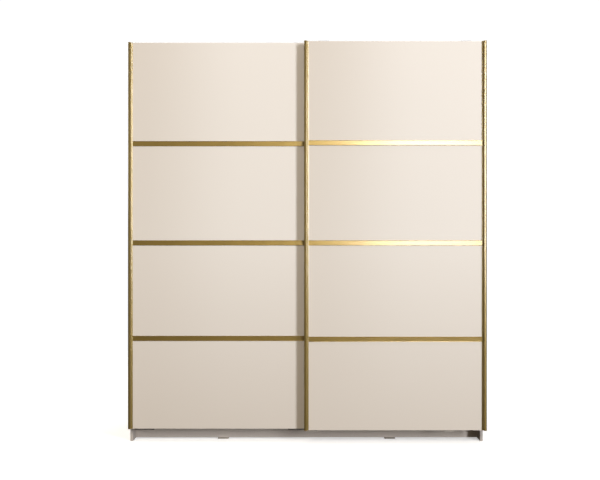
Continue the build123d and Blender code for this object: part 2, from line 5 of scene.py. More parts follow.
import bmesh
import bpy
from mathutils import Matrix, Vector

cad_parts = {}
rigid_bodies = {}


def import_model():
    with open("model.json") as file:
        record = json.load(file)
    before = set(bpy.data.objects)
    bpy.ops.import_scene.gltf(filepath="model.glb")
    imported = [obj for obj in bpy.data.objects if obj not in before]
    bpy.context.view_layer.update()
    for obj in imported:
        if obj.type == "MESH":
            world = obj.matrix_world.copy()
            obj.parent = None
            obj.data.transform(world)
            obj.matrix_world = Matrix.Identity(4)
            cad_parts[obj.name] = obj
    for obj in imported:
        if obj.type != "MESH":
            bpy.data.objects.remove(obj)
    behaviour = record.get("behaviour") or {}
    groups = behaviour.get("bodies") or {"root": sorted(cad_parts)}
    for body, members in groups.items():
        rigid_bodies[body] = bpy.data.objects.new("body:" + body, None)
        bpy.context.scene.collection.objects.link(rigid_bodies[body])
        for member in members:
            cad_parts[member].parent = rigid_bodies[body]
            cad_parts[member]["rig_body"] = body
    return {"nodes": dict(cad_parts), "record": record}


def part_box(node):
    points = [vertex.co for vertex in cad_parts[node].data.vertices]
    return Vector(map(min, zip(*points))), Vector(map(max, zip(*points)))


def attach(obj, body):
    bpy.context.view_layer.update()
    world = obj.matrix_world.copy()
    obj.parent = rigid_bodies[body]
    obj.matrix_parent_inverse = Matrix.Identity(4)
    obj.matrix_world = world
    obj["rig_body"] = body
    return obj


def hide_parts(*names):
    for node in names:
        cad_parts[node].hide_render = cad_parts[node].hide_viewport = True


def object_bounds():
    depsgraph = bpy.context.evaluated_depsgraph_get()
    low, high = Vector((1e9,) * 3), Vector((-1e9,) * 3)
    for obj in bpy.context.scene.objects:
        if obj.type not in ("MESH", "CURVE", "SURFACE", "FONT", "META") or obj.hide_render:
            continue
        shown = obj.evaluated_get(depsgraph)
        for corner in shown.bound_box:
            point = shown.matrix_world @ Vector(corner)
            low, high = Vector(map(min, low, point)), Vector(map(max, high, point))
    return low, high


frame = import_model()
cad_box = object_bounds()

MM = 0.001
X, Y, Z = 0, 1, 2
slot_of = {part["node"]: part["material_slot"] for part in frame["record"]["subparts"]}

# ------------------------------------------------------------------ sizes shared with the CAD source
DOOR_BOARD = 16 * MM
GRIP_WALL = 1.5 * MM
GRIP_DEPTH = 16 * MM          # nose in front of the door's face
GRIP_NOSE_RADIUS = 11 * MM
GRIP_LIP = 4.5 * MM
GRIP_TIP_RADIUS = 0.8 * MM
GRIP_SCOOP_RISE = 0.72        # where the scoop leaves the grip's edge, as a share of the nose
GRIP_BACK_FLANGE = 16 * MM
BAR_HEIGHT = 29 * MM
BAR_WEB = 2 * MM
BAR_BACK_HEIGHT = 18 * MM
BAR_RIDGE_HEIGHT = 2 * MM
BAR_RIDGE = 0.7 * MM
LANE_RIB = 3 * MM
TRACK_BASE = 3 * MM
TRACK_LIP = 6 * MM
TRACK_LIP_THICKNESS = 1.5 * MM
GUIDE_RAIL_PLATE = 2 * MM
GUIDE_RAIL_RIB = 1.5 * MM
GUIDE_GROOVE = 6 * MM
RAIL_WALL = 1.5 * MM
AXLE_RADIUS = 3 * MM
ROLLER_GROOVE_DEPTH = 2.5 * MM
ROLLER_GROOVE_TOP = 3.2 * MM  # half of the groove's width at the rim
ROLLER_GROOVE_FLOOR = 1.9 * MM

# ------------------------------------------------------------------ finishing sizes
BOARD_EASE = 0.7 * MM         # rounding of a board's edges
BOARD_FADE = 4 * MM           # edge wear fades out this far into a face
PROFILE_EASE = 0.3 * MM       # rounding of a metal profile's corners
BAR_EASE = 0.18 * MM          # the same, for the thin ridges of the divider bars
PROFILE_FADE = 1.5 * MM
PART_EASE = 0.25 * MM         # rounding of a small part's edges
PROUD = 0.35 * MM             # heads stand this far out of what they hold
TURNS = 24                    # points around a small round piece
AXLE_TURNS = 32
FINE_TURNS = 64               # points around a wheel
ARC_STEPS = 10
OVAL_STEPS = 14
SAME_PLACE = 1e-6             # points closer than this are one point
ROUNDED_TURN = 25             # corners of an outline that turn more than this are rounded, in degrees
ROUNDED_EDGE = 35             # edges of a CAD part that fold more than this are rounded, in degrees
FLAT_FOLD = 0.4               # edges that fold less than this are merged, in degrees
RUBBED = 0.3                  # wear stored on small parts
TURNED_WEAR = 0.35            # wear stored on turned parts
SCREW_CONE = 2 * MM
THREAD_PITCH = 1.4 * MM

# ------------------------------------------------------------------ light and camera
WARM = (1.0, 0.89, 0.74)
COOL = (0.97, 1.0, 1.07)
BACKDROP = 1.05               # brightness of the white behind the object
AMBIENT = 0.18                # brightness of the even light on it
AMBIENT_BELOW = 0.35          # the same light from below, as a share of that from above
FLOOR_RINGS = (0.0, 1.0, 1.6, 2.4, 3.4, 5.0)
FLOOR_TURNS = 96
FLOOR_GLOW = 0.45
FLOOR_FADE = 0.22             # 1 / the radius at which the floor has faded out
CAMERA_LENS = 50.7
CAMERA_SENSOR = 36.0
CAMERA_PLACE = (-0.037, -5.0, 1.1327)


# ------------------------------------------------------------------ finishes
class Finish:
    """A Principled material whose colour, roughness and relief are built up in layers."""

    def __init__(self, name, colour, roughness, metallic=0.0, **constants):
        self.material = bpy.data.materials.new(name)
        self.material.use_nodes = True
        self.material.diffuse_color = (*colour, 1.0)
        self.tree = self.material.node_tree
        self.shader = self.tree.nodes["Principled BSDF"]
        self.place = self.add("ShaderNodeTexCoord").outputs["Object"]
        self.colour = (*colour, 1.0)
        self.roughness = roughness
        self.relief = None
        self.shader.inputs["Metallic"].default_value = metallic
        for socket, value in constants.items():
            self.shader.inputs[socket.replace("_", " ")].default_value = value

    def add(self, kind, **settings):
        node = self.tree.nodes.new(kind)
        for name, value in settings.items():
            setattr(node, name, value)
        return node

    def feed(self, socket, value):
        """Links an output, or sets a constant."""
        if isinstance(value, bpy.types.NodeSocket):
            self.tree.links.new(value, socket)
        else:
            socket.default_value = value

    def noise(self, scale, detail=3.0, stretch=(1.0, 1.0, 1.0), roughness=0.5):
        """Noise with features about 1/scale metres wide, longer where stretch is under 1."""
        mapping = self.add("ShaderNodeMapping")
        self.feed(mapping.inputs["Vector"], self.place)
        mapping.inputs["Scale"].default_value = stretch
        node = self.add("ShaderNodeTexNoise")
        self.feed(node.inputs["Vector"], mapping.outputs["Vector"])
        node.inputs["Scale"].default_value = scale
        node.inputs["Detail"].default_value = detail
        node.inputs["Roughness"].default_value = roughness
        return node.outputs["Fac"]

    def cells(self, scale):
        node = self.add("ShaderNodeTexVoronoi")
        self.feed(node.inputs["Vector"], self.place)
        node.inputs["Scale"].default_value = scale
        return node.outputs["Distance"]

    def attribute(self, name):
        return self.add("ShaderNodeAttribute", attribute_name=name).outputs["Fac"]

    def spread(self, value, low, high, first=0.0, last=1.0, smooth=False):
        """Maps low..high to first..last, and holds beyond them."""
        node = self.add("ShaderNodeMapRange")
        node.interpolation_type = "SMOOTHSTEP" if smooth else "LINEAR"
        self.feed(node.inputs["Value"], value)
        limits = {"From Min": low, "From Max": high, "To Min": first, "To Max": last}
        for socket, number in limits.items():
            node.inputs[socket].default_value = number
        return node.outputs["Result"]

    def times(self, one, two):
        node = self.add("ShaderNodeMath", operation="MULTIPLY")
        self.feed(node.inputs[0], one)
        self.feed(node.inputs[1], two)
        return node.outputs[0]

    def mix(self, data_type, share, first, second):
        """Mixes two values by a share. The sockets have one name for every type, so they go by number."""
        node = self.add("ShaderNodeMix", data_type=data_type)
        one, two, result = (6, 7, 2) if data_type == "RGBA" else (2, 3, 0)
        self.feed(node.inputs[0], share)
        self.feed(node.inputs[one], first)
        self.feed(node.inputs[two], second)
        return node.outputs[result]

    def tint(self, share, colour):
        """Moves the colour towards another by a share."""
        self.colour = self.mix("RGBA", share, self.colour, (*colour, 1.0))

    def polish(self, share, roughness):
        """Moves the roughness towards another by a share."""
        self.roughness = self.mix("FLOAT", share, self.roughness, roughness)

    def mottle(self, pattern, low, high, amount, colour):
        """Tints where a pattern runs from low to high, by up to an amount."""
        self.tint(self.spread(pattern, low, high, 0.0, amount), colour)

    def smudge(self, pattern, low, high, amount, roughness):
        """Changes the roughness where a pattern runs from low to high, by up to an amount."""
        self.polish(self.spread(pattern, low, high, 0.0, amount), roughness)

    def emboss(self, height, depth, strength=1.0):
        """Adds relief of about that depth in metres."""
        node = self.add("ShaderNodeBump")
        node.inputs["Distance"].default_value = depth
        node.inputs["Strength"].default_value = strength
        self.feed(node.inputs["Height"], height)
        if self.relief is not None:
            self.feed(node.inputs["Normal"], self.relief)
        self.relief = node.outputs["Normal"]

    def wear(self, colour, roughness, amount=0.6):
        """Rubbed edges, broken up by noise."""
        patches = self.spread(self.noise(90.0, 4.0), 0.42, 0.62, 0.25, 1.0)
        share = self.times(self.times(self.attribute("wear"), patches), amount)
        self.tint(share, colour)
        self.polish(share, roughness)

    def done(self):
        """Feeds the layers to the shader."""
        self.feed(self.shader.inputs["Base Color"], self.colour)
        self.feed(self.shader.inputs["Roughness"], self.roughness)
        if self.relief is not None:
            self.feed(self.shader.inputs["Normal"], self.relief)
        return self.material


def scaled(colour, share, lift=0.0):
    """A colour times a share, lifted, and held at 1."""
    return tuple(min(1.0, channel * share + lift) for channel in colour)


def door_foil():
    """Cashmere satin lacquer, with painted shade deepening it towards the foot and the left edge of each
    door.
    """
    light = (0.80, 0.75, 0.685)
    painted_shade = (0.60, 0.53, 0.45)
    coat = {"Coat_Weight": 0.18, "Coat_Roughness": 0.22}
    finish = Finish("door_foil", light, 0.42, Specular_IOR_Level=0.35, **coat)
    across = finish.attribute("across")
    up = finish.attribute("up")
    # Painted shade: the left part of each door is darker, more so towards its top.
    painted_shade_at_left = finish.spread(across, 0.0, 0.65, 0.6, 0.0, smooth=True)
    finish.tint(finish.times(painted_shade_at_left, finish.spread(up, 0.0, 1.0, 0.4, 1.0)), painted_shade)
    # Painted shade: darker towards the foot of each door.
    finish.mottle(up, 0.5, 0.0, 0.72, painted_shade)
    finish.mottle(finish.noise(1.7, 2.0), 0.35, 0.65, 0.05, scaled(light, 0.9))
    finish.mottle(finish.noise(420.0, 2.0), 0.3, 0.7, 0.06, scaled(light, 0.82))
    finish.smudge(finish.noise(6.0, 4.0), 0.3, 0.7, 0.35, 0.52)
    finish.emboss(finish.noise(650.0, 2.0), 0.05 * MM, 0.35)
    finish.emboss(finish.noise(38.0, 1.0), 0.12 * MM, 0.2)
    finish.wear(scaled(light, 1.06), 0.3, 0.5)
    return finish.done()


def edge_band():
    """The foil's thin edge band, with its fine cross grain."""
    base = (0.70, 0.64, 0.56)
    finish = Finish("edge_band", base, 0.5, Specular_IOR_Level=0.35)
    finish.mottle(finish.noise(300.0, 3.0, (0.05, 0.05, 1.0)), 0.3, 0.7, 0.2, scaled(base, 0.8))
    finish.smudge(finish.noise(30.0), 0.3, 0.7, 1.0, 0.4)
    finish.emboss(finish.noise(900.0, 2.0), 0.04 * MM, 0.4)
    finish.wear(scaled(base, 1.1), 0.32, 0.6)
    return finish.done()


def brushed(name, colour, roughness, along, grain=0.14, relief=0.35, **constants):
    """Metal brushed along one axis, with faint smudges and paler rubbed edges."""
    constants = {"metallic": 1.0, **constants}
    finish = Finish(name, colour, roughness, **constants)
    stretch = [0.012 if axis == along else 1.0 for axis in (X, Y, Z)]
    lines = finish.noise(1500.0, 3.0, stretch, 0.6)
    finish.mottle(lines, 0.3, 0.7, grain, scaled(colour, 0.55))
    finish.smudge(lines, 0.35, 0.65, 0.5, roughness + 0.12)
    finish.smudge(finish.noise(9.0, 4.0), 0.4, 0.75, 0.4, roughness + 0.16)
    finish.emboss(lines, 0.02 * MM, relief)
    finish.wear(scaled(colour, 1.25, 0.05), max(0.12, roughness - 0.1), 0.55)
    return finish.done()


def moulded(name, colour, roughness):
    """Moulded plastic: fine spark texture, faint flow marks and paler corners."""
    finish = Finish(name, colour, roughness, Specular_IOR_Level=0.4)
    finish.mottle(finish.noise(60.0, 3.0), 0.3, 0.7, 0.25, scaled(colour, 0.8))
    finish.smudge(finish.noise(140.0), 0.3, 0.7, 1.0, max(0.2, roughness - 0.14))
    finish.emboss(finish.noise(2600.0, 2.0), 0.03 * MM, 0.5)
    finish.wear(scaled(colour, 1.2, 0.02), roughness - 0.1, 0.5)
    return finish.done()


def melamine(name, colour):
    """Melamine board with short fine pores that run up and down, and mottling."""
    finish = Finish(name, colour, 0.5, Specular_IOR_Level=0.3)
    pores = finish.noise(700.0, 3.0, (1.0, 1.0, 0.06), 0.65)
    finish.mottle(finish.noise(3.0, 3.0), 0.3, 0.7, 0.12, scaled(colour, 0.85))
    finish.mottle(pores, 0.5, 0.72, 0.2, scaled(colour, 0.6))
    finish.smudge(pores, 0.45, 0.7, 1.0, 0.62)
    finish.emboss(pores, 0.06 * MM, 0.4)
    finish.wear(scaled(colour, 1.15), 0.4, 0.6)
    return finish.done()


def hardboard():
    """Back sheet: a smooth coat over pressed fibre."""
    colour = (0.50, 0.43, 0.35)
    finish = Finish("hardboard", colour, 0.62, Specular_IOR_Level=0.3)
    fibre = finish.noise(420.0, 5.0, (1.0, 1.0, 0.4), 0.7)
    finish.mottle(fibre, 0.35, 0.7, 0.4, scaled(colour, 0.72))
    finish.mottle(finish.cells(160.0), 0.22, 0.0, 0.25, scaled(colour, 0.62))
    finish.smudge(finish.noise(12.0, 3.0), 0.3, 0.7, 1.0, 0.5)
    finish.emboss(fibre, 0.1 * MM, 0.5)
    finish.wear(scaled(colour, 1.25), 0.7, 0.7)
    return finish.done()


def beech():
    """Dowels, with the grain along their length."""
    colour = (0.58, 0.38, 0.22)
    finish = Finish("beech", colour, 0.6)
    grain = (0.1, 1.0, 1.0)
    finish.mottle(finish.noise(900.0, 4.0, grain), 0.3, 0.7, 0.5, scaled(colour, 0.6))
    finish.smudge(finish.noise(200.0), 0.3, 0.7, 1.0, 0.72)
    finish.emboss(finish.noise(1200.0, 3.0, grain), 0.05 * MM, 0.5)
    return finish.done()


def galvanised(name, colour, roughness):
    """Zinc-plated sheet: soft spangle and light scratches."""
    finish = Finish(name, colour, roughness, metallic=1.0)
    finish.mottle(finish.cells(240.0), 0.1, 0.6, 0.3, scaled(colour, 0.72))
    finish.smudge(finish.noise(220.0, 5.0), 0.35, 0.7, 1.0, roughness + 0.18)
    finish.emboss(finish.noise(1400.0, 3.0, (1.0, 1.0, 0.1)), 0.02 * MM, 0.4)
    finish.wear(scaled(colour, 1.2), roughness - 0.08, 0.5)
    return finish.done()


# Gold under a clear lacquer: the coat keeps its highlights pale.
LACQUERED = {
    "relief": 0.1,
    "grain": 0.08,
    "metallic": 0.8,
    "Coat_Weight": 1.0,
    "Coat_Roughness": 0.2,
    "Coat_IOR": 1.75,
    "Anisotropic": 0.4,
}
GREIGE = (0.50, 0.445, 0.395)
materials = {
    "door_panel": door_foil(),
    "edge_band": edge_band(),
    "gold_divider": brushed("gold_divider", (0.32, 0.208, 0.042), 0.28, X, **LACQUERED),
    "gold_grip": brushed("gold_grip", (0.26, 0.178, 0.042), 0.38, Z, **LACQUERED),
    "cap_plastic": moulded("cap_plastic", (0.36, 0.26, 0.12), 0.5),
    "zinc_steel": galvanised("zinc_steel", (0.62, 0.63, 0.66), 0.34),
    "roller_nylon": moulded("roller_nylon", (0.78, 0.77, 0.73), 0.4),
    "bearing_steel": brushed("bearing_steel", (0.55, 0.56, 0.58), 0.22, Y, 0.1),
    "axle_steel": brushed("axle_steel", (0.52, 0.53, 0.55), 0.28, Y, 0.1),
    # Near black: partly the guide's own dark plastic, partly painted shade for the shaded gap under the rear
    # door's foot.
    "guide_plastic": moulded("guide_plastic", (0.022, 0.019, 0.016), 0.5),
    "front_guide_plastic": moulded("front_guide_plastic", (0.52, 0.46, 0.39), 0.5),
    "screw_steel": galvanised("screw_steel", (0.58, 0.59, 0.61), 0.3),
    "cam_zinc": galvanised("cam_zinc", (0.48, 0.48, 0.5), 0.42),
    "nail_steel": galvanised("nail_steel", (0.45, 0.45, 0.47), 0.4),
    "beech": beech(),
    "back_sheet": hardboard(),
    # Painted light: the plinth's melamine is painted paler than the carcase's greige, making up for the shade
    # under the doors.
    "plinth_board": melamine("plinth_melamine_painted_light", (0.69, 0.605, 0.525)),
    "carcase_board": melamine("carcase_melamine", GREIGE),
    "glide_plastic": moulded("glide_plastic", (0.44, 0.40, 0.35), 0.55),
    "rail_chrome": brushed("rail_chrome", (0.80, 0.81, 0.83), 0.12, X, 0.04),
    "socket_zinc": galvanised("socket_zinc", (0.70, 0.70, 0.72), 0.24),
    "pin_steel": brushed("pin_steel", (0.6, 0.6, 0.62), 0.25, X, 0.08),
    "track_aluminium": brushed("track_aluminium", (0.66, 0.66, 0.68), 0.3, X),
    "stop_plastic": moulded("stop_plastic", (0.05, 0.05, 0.05), 0.5),
    "buffer_rubber": moulded("buffer_rubber", (0.022, 0.022, 0.022), 0.75),
}


# ------------------------------------------------------------------ building pieces
gold_pieces = bpy.data.collections.new("gold_pieces")


def finished(name, bm, slots, nodes, smooth_degrees=32.0):
    """Turns a bmesh into a piece that stands for its CAD nodes and rides on their body."""
    bmesh.ops.recalc_face_normals(bm, faces=bm.faces[:])
    mesh = bpy.data.meshes.new(name)
    bm.to_mesh(mesh)
    bm.free()
    for slot in slots:
        mesh.materials.append(materials[slot])
    mesh.shade_smooth()
    mesh.set_sharp_from_angle(angle=math.radians(smooth_degrees))
    piece = bpy.data.objects.new(name, mesh)
    bpy.context.scene.collection.objects.link(piece)
    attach(piece, frame["nodes"][nodes[0]]["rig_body"])
    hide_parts(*nodes)
    if slots[0] in ("gold_divider", "gold_grip"):
        gold_pieces.objects.link(piece)
    return piece


def wear_layer(bm):
    """The layer that holds edge wear, made where it is missing."""
    return bm.verts.layers.float.get("wear") or bm.verts.layers.float.new("wear")


def span(points):
    """The lowest and highest corner of a set of points."""
    low = Vector([min(p[axis] for p in points) for axis in (X, Y, Z)])
    high = Vector([max(p[axis] for p in points) for axis in (X, Y, Z)])
    return low, high


def round_edges(bm, edges, ease):
    bmesh.ops.bevel(bm, geom=edges, offset=ease, segments=2, profile=0.5, affect="EDGES", clamp_overlap=True)


def eased_box(bm, low, high, ease, fade):
    """A box with rounded edges, and full wear on them that fades out into the faces."""
    verts = bmesh.ops.create_cube(bm, size=1.0)["verts"]
    for vert in verts:
        vert.co = Vector([high[axis] if vert.co[axis] > 0 else low[axis] for axis in (X, Y, Z)])
    faces = bm.faces[:]
    rims = bm.edges[:]
    fade = min(fade, min(high - low) * 0.3)
    ease = min(ease, fade * 0.6)
    bmesh.ops.inset_individual(bm, faces=faces, thickness=fade, use_even_offset=True)
    round_edges(bm, rims, ease)
    layer = wear_layer(bm)
    for vert in bm.verts:
        depths = [min(vert.co[axis] - low[axis], high[axis] - vert.co[axis]) for axis in (X, Y, Z)]
        at_rims = sum(depth < ease * 1.05 for depth in depths)
        vert[layer] = 1.0 if at_rims > 1 else 0.0


def board(node, slots, band, trim=(0, 0, 0)):
    """A board with eased edges. Faces across an axis in band get slot 1. trim pulls in the high side."""
    low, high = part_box(node)
    bm = bmesh.new()
    eased_box(bm, low, high - Vector(trim), BOARD_EASE, BOARD_FADE)
    bm.normal_update()
    for face in bm.faces:
        face.material_index = int(any(abs(face.normal[axis]) > 0.9 for axis in band))
    return finished(node + "_board", bm, slots, [node])


def arc(centre, radii, first, last, steps=ARC_STEPS):
    """Points of an elliptical arc, angles in degrees."""
    angles = [math.radians(first + (last - first) * i / steps) for i in range(steps + 1)]
    return [(centre[0] + radii[0] * math.cos(a), centre[1] + radii[1] * math.sin(a)) for a in angles]


def corner_reach(side, ease, fade):
    """How far along a side from a corner its rounding and its wear go."""
    worn = min(side.length * 0.45, fade)
    return min(side.length * 0.4, ease, worn * 0.8), worn


def eased_outline(points, ease, fade):
    """Rounds the corners of an outline. Returns (x, y, wear) with the wear gone at fade from a corner."""
    outline = []
    for i, point in enumerate(points):
        here = Vector(point)
        back = Vector(points[i - 1]) - here
        ahead = Vector(points[(i + 1) % len(points)]) - here
        if math.pi - back.angle(ahead) < math.radians(ROUNDED_TURN):
            outline.append((*here, 0.0))
            continue
        back_soft, back_worn = corner_reach(back, ease, fade)
        ahead_soft, ahead_worn = corner_reach(ahead, ease, fade)
        back.normalize()
        ahead.normalize()
        outline.append((*(here + back * back_worn), 0.0))
        outline.append((*(here + back * back_soft), 1.0))
        outline.append((*(here + (back + ahead) * back_soft * 0.3), 1.0))
        outline.append((*(here + ahead * ahead_soft), 1.0))
        outline.append((*(here + ahead * ahead_worn), 0.0))
    return outline


def join(bm, rings, material=0):
    """Faces between rings that follow one another. A ring of one point closes an end."""
    for one, two in zip(rings, rings[1:]):
        count = max(len(one), len(two))
        for i in range(count):
            j = (i + 1) % count
            corners = [one[i % len(one)], one[j % len(one)], two[j % len(two)], two[i % len(two)]]
            corners = list(dict.fromkeys(corners))
            if len(corners) > 2:
                bm.faces.new(corners).material_index = material


def prism(bm, outline, along, low, high, hole=None):
    """Extrudes an (a, b, wear) outline along an axis. a and b are the other two axes in order."""
    layer = wear_layer(bm)
    ends = []
    for place in (low, high):
        rings = []
        for line in [outline] + ([hole] if hole else []):
            ring = []
            for a, b, worn in line:
                spot = [a, b]
                spot.insert(along, place)
                vert = bm.verts.new(spot)
                vert[layer] = worn
                ring.append(vert)
            rings.append(ring)
        ends.append(rings)
    for near, far in zip(*ends):
        join(bm, [near, far])
    for rings in ends:
        if hole:
            join(bm, rings)
        else:
            bm.faces.new(rings[0])


def frame_of(axis):
    """Two directions across an axis."""
    side = Vector((0, 0, 1)) if abs(axis.z) < 0.9 else axis.orthogonal().normalized()
    return side, axis.cross(side)


def ring_around(bm, middle, axis, shape, worn):
    """A ring of points from (angle, radius) pairs around an axis."""
    layer = wear_layer(bm)
    side, up = frame_of(axis)
    ring = [bm.verts.new(middle + (side * math.cos(a) + up * math.sin(a)) * radius) for a, radius in shape]
    for vert in ring:
        vert[layer] = worn
    return ring


def lathe(bm, start, axis, profile, turns=TURNS, material=0):
    """Turns a profile of (along, radius) about an axis. A radius of 0 closes an end."""
    axis = Vector(axis)
    angles = [2 * math.pi * i / turns for i in range(turns)]
    rings = []
    for along, radius in profile:
        shape = [(angle, radius) for angle in angles] if radius > 0 else [(0.0, 0.0)]
        rings.append(ring_around(bm, Vector(start) + axis * along, axis, shape, TURNED_WEAR))
    join(bm, rings, material)


def solids(node):
    """The points of each separate solid in a CAD node, in a fixed order."""
    bm = bmesh.new()
    bm.from_mesh(frame["nodes"][node].data)
    bmesh.ops.remove_doubles(bm, verts=bm.verts, dist=SAME_PLACE)
    seen = set()
    found = []
    for vert in bm.verts:
        if vert in seen:
            continue
        seen.add(vert)
        queue = [vert]
        for item in queue:
            for edge in item.link_edges:
                other = edge.other_vert(item)
                if other not in seen:
                    seen.add(other)
                    queue.append(other)
        found.append([item.co.copy() for item in queue])
    bm.free()
    return sorted(found, key=lambda points: [round(place, 4) for place in span(points)[0]])


def round_solid(points):
    """Of a round solid: its wide end's middle, the direction into it, its length and its widest radius."""
    low, high = span(points)
    middle = (low + high) / 2
    size = high - low
    shortest, between, longest = sorted((X, Y, Z), key=lambda axis: size[axis])
    long_and_thin = size[longest] - size[between] > size[between] - size[shortest]
    along = longest if long_and_thin else shortest
    across = [axis for axis in (X, Y, Z) if axis != along]

    def reach(end):
        near = [p for p in points if abs(p[along] - end[along]) < 0.05 * MM]
        return max((p - middle)[axis] for p in near for axis in across)

    wide_at_low = reach(low) >= reach(high)
    into = Vector((0, 0, 0))
    into[along] = 1 if wide_at_low else -1
    head = middle.copy()
    head[along] = low[along] if wide_at_low else high[along]
    return head, into, size[along], max(size[axis] for axis in across) / 2


def soft_profile(length, radius, ease):
    """Profile of a pin with rounded ends."""
    quarter = [(ease * (1 - math.cos(a)), radius - ease * (1 - math.sin(a))) for a in (0.0, 0.8, math.pi / 2)]
    far = [(length - along, reach) for along, reach in reversed(quarter)]
    return [(0, 0)] + quarter + far + [(length, 0)]


# ------------------------------------------------------------------ fasteners
def cross_ring(reach, half_width):
    """24 (angle, radius) points of a plus-shaped recess."""
    corner = math.atan2(half_width, reach)
    tip = math.hypot(half_width, reach)
    notch = half_width * math.sqrt(2)
    side = math.hypot(half_width, (reach + half_width) / 2)
    slant = math.atan2(half_width, (reach + half_width) / 2)
    quarter = [(-corner, tip), (0.0, reach), (corner, tip), (slant, side)]
    quarter += [(math.pi / 4, notch), (math.pi / 2 - slant, side)]
    return [(angle + q * math.pi / 2, radius) for q in range(4) for angle, radius in quarter]


def stack(bm, head, into, levels):
    """Joins (along, shape) rings along an axis, and closes both ends."""
    rings = [ring_around(bm, head + into * along, into, shape, RUBBED) for along, shape in levels]
    join(bm, rings)
    bm.faces.new(rings[0])
    bm.faces.new(rings[-1])


def shrunk(shape, share):
    return [(angle, radius * share) for angle, radius in shape]


def circle(shape, radius):
    """A circle with its points at a shape's angles."""
    return [(angle, radius) for angle, unused in shape]


def screw(bm, head, into, length, radius):
    """A raised countersunk screw with a cross recess and a threaded shank."""
    cross = cross_ring(radius * 0.56, radius * 0.13)
    shank = radius / 2
    levels = [(1.1 * MM, shrunk(cross, 0.45)), (-PROUD, cross)]
    dome = [(-PROUD * 0.95, 0.72), (-PROUD * 0.45, 0.93), (0.0, 1.0), (0.25 * MM, 1.0)]
    levels += [(along, circle(cross, radius * share)) for along, share in dome]
    levels.append((SCREW_CONE, circle(cross, shank)))
    along = SCREW_CONE + THREAD_PITCH / 2
    while along < length - THREAD_PITCH:
        levels.append((along, circle(cross, shank)))
        levels.append((along + THREAD_PITCH * 0.4, circle(cross, shank * 0.72)))
        along += THREAD_PITCH * 0.8
    levels.append((length, circle(cross, shank * 0.3)))
    stack(bm, head, into, levels)


def screws(node):
    """All screws of a node."""
    bm = bmesh.new()
    for points in solids(node):
        screw(bm, *round_solid(points))
    return finished(node + "_crossheads", bm, [slot_of[node]], [node])


def nails(node):
    """Nails with a low domed head and a pointed shank."""
    bm = bmesh.new()
    for points in solids(node):
        head, into, length, radius = round_solid(points)
        shank = radius * 0.32
        profile = [(0, 0), (0.05 * MM, radius * 0.7), (0.25 * MM, radius * 0.96), (0.5 * MM, radius)]
        profile += [(0.8 * MM, radius * 0.9), (1.0 * MM, shank), (length - 2 * MM, shank), (length, 0)]
        lathe(bm, head, into, profile)
    return finished(node + "_nails", bm, [slot_of[node]], [node])


def cams(node):
    """Cam locks: a turned rim around a dished face with a cross slot."""
    bm = bmesh.new()
    for points in solids(node):
        head, into, length, radius = round_solid(points)
        if abs(into.x) > 0.5:
            # A cam along X shows its face to the wardrobe's middle. One in the partition stays as it is.
            if head.x * into.x < 0 and abs(head.x) > 20 * MM:
                into = -into
            low, high = span(points)
            head.x = (low.x + high.x - into.x * length) / 2
        cross = cross_ring(radius * 0.46, radius * 0.1)
        rim = -2 * PROUD
        levels = [(0.6 * MM, shrunk(cross, 0.8)), (rim * 0.8, cross)]
        turned = [(rim * 0.8, 0.58), (rim, 0.62), (rim, 0.9), (rim / 2, 1.0)]
        turned += [(length - 0.5 * MM, 1.0), (length, 0.94)]
        levels += [(along, circle(cross, radius * share)) for along, share in turned]
        stack(bm, head, into, levels)
    return finished(node + "_cams", bm, [slot_of[node]], [node])


def pins(node):
    """Shelf pins with rounded ends."""
    bm = bmesh.new()
    for points in solids(node):
        low, high = span(points)
        start = Vector((low.x, (low.y + high.y) / 2, (low.z + high.z) / 2))
        profile = soft_profile(high.x - low.x, (high.z - low.z) / 2, 0.8 * MM)
        lathe(bm, start, (1, 0, 0), profile)
    return finished(node + "_pins", bm, [slot_of[node]], [node])


# ------------------------------------------------------------------ parts softened from their CAD shape
def softened(node):
    """A copy of a CAD node with its facets merged and its sharp edges rounded."""
    bm = bmesh.new()
    bm.from_mesh(frame["nodes"][node].data)
    bmesh.ops.remove_doubles(bm, verts=bm.verts, dist=SAME_PLACE)
    bmesh.ops.dissolve_limit(bm, angle_limit=math.radians(FLAT_FOLD), verts=bm.verts, edges=bm.edges)
    limit = math.radians(ROUNDED_EDGE)
    sharp = [edge for edge in bm.edges if edge.is_manifold and edge.calc_face_angle(0.0) > limit]
    round_edges(bm, sharp, PART_EASE)
    layer = wear_layer(bm)
    for vert in bm.verts:
        vert[layer] = RUBBED
    return finished(node + "_soft", bm, [slot_of[node]], [node])


# ------------------------------------------------------------------ doors
def grip_outline(edge_x, inward, face_y):
    """Section of a grip: a channel for the board and a scooped nose in front."""
    lip = GRIP_NOSE_RADIUS + GRIP_LIP
    low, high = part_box("left_door_outer_grip")
    width = high.x - low.x
    scoop_top = GRIP_WALL + GRIP_SCOOP_RISE * (GRIP_DEPTH - GRIP_WALL)
    thick = DOOR_BOARD + GRIP_WALL
    shape = [(width, 0), (GRIP_WALL, 0), (GRIP_WALL, -DOOR_BOARD), (GRIP_BACK_FLANGE, -DOOR_BOARD)]
    shape += [(GRIP_BACK_FLANGE, -thick), (0, -thick)]
    shape += arc((GRIP_NOSE_RADIUS, GRIP_DEPTH - GRIP_NOSE_RADIUS), (GRIP_NOSE_RADIUS,) * 2, 180, 90)
    shape += arc((lip - GRIP_TIP_RADIUS, GRIP_DEPTH - GRIP_TIP_RADIUS), (GRIP_TIP_RADIUS,) * 2, 90, 0, 4)
    shape += arc((width, scoop_top), (width - lip, scoop_top - GRIP_WALL), 180, 270)
    points = [(edge_x + inward * inset, face_y - forward) for inset, forward in shape]
    return eased_outline(points, PROFILE_EASE, PROFILE_FADE)


